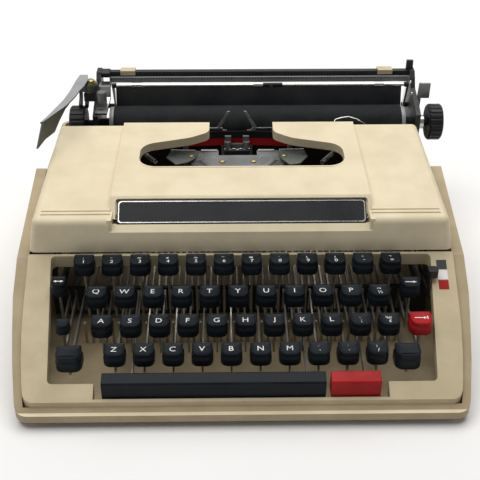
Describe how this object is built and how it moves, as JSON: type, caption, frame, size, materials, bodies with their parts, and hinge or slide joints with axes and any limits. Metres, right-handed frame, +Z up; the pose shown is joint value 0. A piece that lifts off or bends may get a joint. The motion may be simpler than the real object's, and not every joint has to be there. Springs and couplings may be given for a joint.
{
  "type": "typewriter",
  "caption": "Portable manual typewriter with a cream top cover, a tan base, black keys on sprung levers and a sliding carriage with platen and return lever.",
  "frame": {"origin": "bottom centre of the object's box, on the table under the feet", "axes": "+X to the typist's right, +Y to the back, +Z up"},
  "size_m": [0.3252, 0.306, 0.126],
  "materials": {
    "cream_shell": "satin moulded plastic",
    "cream_surround": "satin moulded plastic",
    "tan_base": "aged, mottled plastic",
    "black_key": "gloss",
    "red_key": "gloss",
    "black_trim": "satin",
    "black_metal": "satin black enamel",
    "grey_metal": "grey, satin",
    "plated_steel": "bright plated",
    "bright_steel": "polished",
    "rubber_black": "matt",
    "ribbon_ink": "inked ribbon, black over red"
  },
  "bodies": {
    "machine": {"base_tray": "tan_base", "rubber_feet": "rubber_black", "keyboard_surround": "cream_surround", "steel_frame": "black_metal", "key_pivot_rod": "bright_steel", "type_segment": "grey_metal", "typebars": "plated_steel", "card_holder": "bright_steel", "ribbon": "ribbon_ink", "carriage_rail": "plated_steel"},
    "key_q": {"key_q": "black_key"},
    "key_w": {"key_w": "black_key"},
    "key_e": {"key_e": "black_key"},
    "key_r": {"key_r": "black_key"},
    "key_t": {"key_t": "black_key"},
    "key_y": {"key_y": "black_key"},
    "key_u": {"key_u": "black_key"},
    "key_i": {"key_i": "black_key"},
    "key_o": {"key_o": "black_key"},
    "key_p": {"key_p": "black_key"},
    "key_a": {"key_a": "black_key"},
    "key_s": {"key_s": "black_key"},
    "key_d": {"key_d": "black_key"},
    "key_f": {"key_f": "black_key"},
    "key_g": {"key_g": "black_key"},
    "key_h": {"key_h": "black_key"},
    "key_j": {"key_j": "black_key"},
    "key_k": {"key_k": "black_key"},
    "key_l": {"key_l": "black_key"},
    "key_z": {"key_z": "black_key"},
    "key_x": {"key_x": "black_key"},
    "key_c": {"key_c": "black_key"},
    "key_v": {"key_v": "black_key"},
    "key_b": {"key_b": "black_key"},
    "key_n": {"key_n": "black_key"},
    "key_m": {"key_m": "black_key"},
    "number_and_sign_keys": {"number_and_sign_keys": "black_key"},
    "margin_release_key": {"margin_release_key": "black_key"},
    "backspace_key": {"backspace_key": "black_key"},
    "tab_key": {"tab_key": "red_key"},
    "shift_lock_key": {"shift_lock_key": "black_key"},
    "shift_keys": {"shift_keys": "black_key"},
    "space_bar": {"space_bar": "black_key"},
    "repeat_spacer": {"repeat_spacer": "red_key"},
    "top_cover": {"top_cover": "cream_shell", "nameplate": "black_trim"},
    "ribbon_vibrator": {"ribbon_vibrator": "grey_metal"},
    "left_spool": {"left_spool": "black_trim"},
    "right_spool": {"right_spool": "black_trim"},
    "ribbon_colour_selector": {"ribbon_colour_selector": "black_trim"},
    "carriage": {"carriage_frame": "black_metal", "paper_table": "black_metal", "paper_scale": "plated_steel"},
    "platen": {"platen": "rubber_black", "platen_knobs": "black_trim"},
    "return_lever": {"return_lever": "grey_metal"},
    "paper_bail": {"paper_bail": "bright_steel"},
    "paper_release_lever": {"paper_release_lever": "grey_metal"},
    "left_margin_stop": {"left_margin_stop": "cream_surround"},
    "right_margin_stop": {"right_margin_stop": "cream_surround"}
  },
  "joints": [
    {"name": "key_q_press", "type": "hinge", "parent": "machine", "child": "key_q", "pos_m": [-0.0076, 0.045, 0.03], "axis": [1, 0, 0], "range_deg": [0, 5.25], "stiffness_Nm_per_rad": 0.2, "springref_deg": -20.05},
    {"name": "key_w_press", "type": "hinge", "parent": "machine", "child": "key_w", "pos_m": [-0.0076, 0.045, 0.03], "axis": [1, 0, 0], "range_deg": [0, 5.25], "stiffness_Nm_per_rad": 0.2, "springref_deg": -20.05},
    {"name": "key_e_press", "type": "hinge", "parent": "machine", "child": "key_e", "pos_m": [-0.0076, 0.045, 0.03], "axis": [1, 0, 0], "range_deg": [0, 5.25], "stiffness_Nm_per_rad": 0.2, "springref_deg": -20.05},
    {"name": "key_r_press", "type": "hinge", "parent": "machine", "child": "key_r", "pos_m": [-0.0076, 0.045, 0.03], "axis": [1, 0, 0], "range_deg": [0, 5.25], "stiffness_Nm_per_rad": 0.2, "springref_deg": -20.05},
    {"name": "key_t_press", "type": "hinge", "parent": "machine", "child": "key_t", "pos_m": [-0.0076, 0.045, 0.03], "axis": [1, 0, 0], "range_deg": [0, 5.25], "stiffness_Nm_per_rad": 0.2, "springref_deg": -20.05},
    {"name": "key_y_press", "type": "hinge", "parent": "machine", "child": "key_y", "pos_m": [-0.0076, 0.045, 0.03], "axis": [1, 0, 0], "range_deg": [0, 5.25], "stiffness_Nm_per_rad": 0.2, "springref_deg": -20.05},
    {"name": "key_u_press", "type": "hinge", "parent": "machine", "child": "key_u", "pos_m": [-0.0076, 0.045, 0.03], "axis": [1, 0, 0], "range_deg": [0, 5.25], "stiffness_Nm_per_rad": 0.2, "springref_deg": -20.05},
    {"name": "key_i_press", "type": "hinge", "parent": "machine", "child": "key_i", "pos_m": [-0.0076, 0.045, 0.03], "axis": [1, 0, 0], "range_deg": [0, 5.25], "stiffness_Nm_per_rad": 0.2, "springref_deg": -20.05},
    {"name": "key_o_press", "type": "hinge", "parent": "machine", "child": "key_o", "pos_m": [-0.0076, 0.045, 0.03], "axis": [1, 0, 0], "range_deg": [0, 5.25], "stiffness_Nm_per_rad": 0.2, "springref_deg": -20.05},
    {"name": "key_p_press", "type": "hinge", "parent": "machine", "child": "key_p", "pos_m": [-0.0076, 0.045, 0.03], "axis": [1, 0, 0], "range_deg": [0, 5.25], "stiffness_Nm_per_rad": 0.2, "springref_deg": -20.05},
    {"name": "key_a_press", "type": "hinge", "parent": "machine", "child": "key_a", "pos_m": [-0.0076, 0.045, 0.03], "axis": [1, 0, 0], "range_deg": [0, 4.59], "stiffness_Nm_per_rad": 0.2, "springref_deg": -20.05},
    {"name": "key_s_press", "type": "hinge", "parent": "machine", "child": "key_s", "pos_m": [-0.0076, 0.045, 0.03], "axis": [1, 0, 0], "range_deg": [0, 4.59], "stiffness_Nm_per_rad": 0.2, "springref_deg": -20.05},
    {"name": "key_d_press", "type": "hinge", "parent": "machine", "child": "key_d", "pos_m": [-0.0076, 0.045, 0.03], "axis": [1, 0, 0], "range_deg": [0, 4.59], "stiffness_Nm_per_rad": 0.2, "springref_deg": -20.05},
    {"name": "key_f_press", "type": "hinge", "parent": "machine", "child": "key_f", "pos_m": [-0.0076, 0.045, 0.03], "axis": [1, 0, 0], "range_deg": [0, 4.59], "stiffness_Nm_per_rad": 0.2, "springref_deg": -20.05},
    {"name": "key_g_press", "type": "hinge", "parent": "machine", "child": "key_g", "pos_m": [-0.0076, 0.045, 0.03], "axis": [1, 0, 0], "range_deg": [0, 4.59], "stiffness_Nm_per_rad": 0.2, "springref_deg": -20.05},
    {"name": "key_h_press", "type": "hinge", "parent": "machine", "child": "key_h", "pos_m": [-0.0076, 0.045, 0.03], "axis": [1, 0, 0], "range_deg": [0, 4.59], "stiffness_Nm_per_rad": 0.2, "springref_deg": -20.05},
    {"name": "key_j_press", "type": "hinge", "parent": "machine", "child": "key_j", "pos_m": [-0.0076, 0.045, 0.03], "axis": [1, 0, 0], "range_deg": [0, 4.59], "stiffness_Nm_per_rad": 0.2, "springref_deg": -20.05},
    {"name": "key_k_press", "type": "hinge", "parent": "machine", "child": "key_k", "pos_m": [-0.0076, 0.045, 0.03], "axis": [1, 0, 0], "range_deg": [0, 4.59], "stiffness_Nm_per_rad": 0.2, "springref_deg": -20.05},
    {"name": "key_l_press", "type": "hinge", "parent": "machine", "child": "key_l", "pos_m": [-0.0076, 0.045, 0.03], "axis": [1, 0, 0], "range_deg": [0, 4.59], "stiffness_Nm_per_rad": 0.2, "springref_deg": -20.05},
    {"name": "key_z_press", "type": "hinge", "parent": "machine", "child": "key_z", "pos_m": [-0.0076, 0.045, 0.03], "axis": [1, 0, 0], "range_deg": [0, 4.09], "stiffness_Nm_per_rad": 0.2, "springref_deg": -20.05},
    {"name": "key_x_press", "type": "hinge", "parent": "machine", "child": "key_x", "pos_m": [-0.0076, 0.045, 0.03], "axis": [1, 0, 0], "range_deg": [0, 4.09], "stiffness_Nm_per_rad": 0.2, "springref_deg": -20.05},
    {"name": "key_c_press", "type": "hinge", "parent": "machine", "child": "key_c", "pos_m": [-0.0076, 0.045, 0.03], "axis": [1, 0, 0], "range_deg": [0, 4.09], "stiffness_Nm_per_rad": 0.2, "springref_deg": -20.05},
    {"name": "key_v_press", "type": "hinge", "parent": "machine", "child": "key_v", "pos_m": [-0.0076, 0.045, 0.03], "axis": [1, 0, 0], "range_deg": [0, 4.09], "stiffness_Nm_per_rad": 0.2, "springref_deg": -20.05},
    {"name": "key_b_press", "type": "hinge", "parent": "machine", "child": "key_b", "pos_m": [-0.0076, 0.045, 0.03], "axis": [1, 0, 0], "range_deg": [0, 4.09], "stiffness_Nm_per_rad": 0.2, "springref_deg": -20.05},
    {"name": "key_n_press", "type": "hinge", "parent": "machine", "child": "key_n", "pos_m": [-0.0076, 0.045, 0.03], "axis": [1, 0, 0], "range_deg": [0, 4.09], "stiffness_Nm_per_rad": 0.2, "springref_deg": -20.05},
    {"name": "key_m_press", "type": "hinge", "parent": "machine", "child": "key_m", "pos_m": [-0.0076, 0.045, 0.03], "axis": [1, 0, 0], "range_deg": [0, 4.09], "stiffness_Nm_per_rad": 0.2, "springref_deg": -20.05},
    {"name": "number_and_sign_keys_press", "type": "hinge", "parent": "machine", "child": "number_and_sign_keys", "pos_m": [-0.0076, 0.045, 0.03], "axis": [1, 0, 0], "range_deg": [0, 4.09], "stiffness_Nm_per_rad": 2, "springref_deg": -20.05},
    {"name": "margin_release_key_press", "type": "hinge", "parent": "machine", "child": "margin_release_key", "pos_m": [-0.0076, 0.045, 0.03], "axis": [1, 0, 0], "range_deg": [0, 5.52], "stiffness_Nm_per_rad": 0.2, "springref_deg": -20.05},
    {"name": "backspace_key_press", "type": "hinge", "parent": "machine", "child": "backspace_key", "pos_m": [-0.0076, 0.045, 0.03], "axis": [1, 0, 0], "range_deg": [0, 5.44], "stiffness_Nm_per_rad": 0.2, "springref_deg": -20.05},
    {"name": "tab_key_press", "type": "hinge", "parent": "machine", "child": "tab_key", "pos_m": [-0.0076, 0.045, 0.03], "axis": [1, 0, 0], "range_deg": [0, 4.59], "stiffness_Nm_per_rad": 0.2, "springref_deg": -20.05},
    {"name": "shift_lock_key_press", "type": "hinge", "parent": "machine", "child": "shift_lock_key", "pos_m": [-0.0076, 0.045, 0.03], "axis": [1, 0, 0], "range_deg": [0, 4.59], "stiffness_Nm_per_rad": 0.2, "springref_deg": -20.05},
    {"name": "shift_keys_press", "type": "hinge", "parent": "machine", "child": "shift_keys", "pos_m": [-0.0076, 0.045, 0.03], "axis": [1, 0, 0], "range_deg": [0, 4.05], "stiffness_Nm_per_rad": 0.6, "springref_deg": -20.05},
    {"name": "space_bar_press", "type": "hinge", "parent": "machine", "child": "space_bar", "pos_m": [-0.0076, 0.045, 0.03], "axis": [1, 0, 0], "range_deg": [0, 2.46], "stiffness_Nm_per_rad": 0.4, "springref_deg": -28.65},
    {"name": "repeat_spacer_press", "type": "hinge", "parent": "machine", "child": "repeat_spacer", "pos_m": [-0.0076, 0.045, 0.03], "axis": [1, 0, 0], "range_deg": [0, 2.46], "stiffness_Nm_per_rad": 0.3, "springref_deg": -22.92},
    {"name": "cover_lift", "type": "hinge", "parent": "machine", "child": "top_cover", "pos_m": [-0.0076, 0.065, 0.092], "axis": [-1, 0, 0], "range_deg": [0, 25]},
    {"name": "vibrator_rise", "type": "slide", "parent": "machine", "child": "ribbon_vibrator", "axis": [0, 0, 1], "range_m": [0, 0.009], "stiffness_N_per_m": 40, "springref_m": -0.01},
    {"name": "left_spool_turn", "type": "hinge", "parent": "machine", "child": "left_spool", "pos_m": [-0.1256, 0.013, 0.08], "axis": [0, 0, 1], "continuous": true},
    {"name": "right_spool_turn", "type": "hinge", "parent": "machine", "child": "right_spool", "pos_m": [0.1104, 0.013, 0.08], "axis": [0, 0, 1], "continuous": true},
    {"name": "colour_select", "type": "slide", "parent": "machine", "child": "ribbon_colour_selector", "axis": [0, 0.8616, 0.5075], "range_m": [-0.006, 0.006]},
    {"name": "carriage_travel", "type": "slide", "parent": "machine", "child": "carriage", "axis": [1, 0, 0], "range_m": [-0.127, 0.093]},
    {"name": "platen_turn", "type": "hinge", "parent": "carriage", "child": "platen", "pos_m": [0.0088, 0.111, 0.0844], "axis": [1, 0, 0], "continuous": true},
    {"name": "return_lever_swing", "type": "hinge", "parent": "carriage", "child": "return_lever", "pos_m": [-0.129, 0.118, 0.114], "axis": [0, 0, 1], "range_deg": [0, 35], "stiffness_Nm_per_rad": 0.1, "springref_deg": -17.19},
    {"name": "bail_swing", "type": "hinge", "parent": "carriage", "child": "paper_bail", "pos_m": [0.0088, 0.135, 0.089], "axis": [1, 0, 0], "range_deg": [0, 22]},
    {"name": "paper_release_pull", "type": "hinge", "parent": "carriage", "child": "paper_release_lever", "pos_m": [0.1458, 0.129, 0.08], "axis": [1, 0, 0], "range_deg": [0, 12]},
    {"name": "left_margin_set", "type": "slide", "parent": "carriage", "child": "left_margin_stop", "axis": [1, 0, 0], "range_m": [-0.006, 0.1]},
    {"name": "right_margin_set", "type": "slide", "parent": "carriage", "child": "right_margin_stop", "axis": [1, 0, 0], "range_m": [-0.1, 0.01]}
  ],
  "couplings": [
    {"joint": "right_spool_turn", "follows": "left_spool_turn", "ratio": 1}
  ]
}
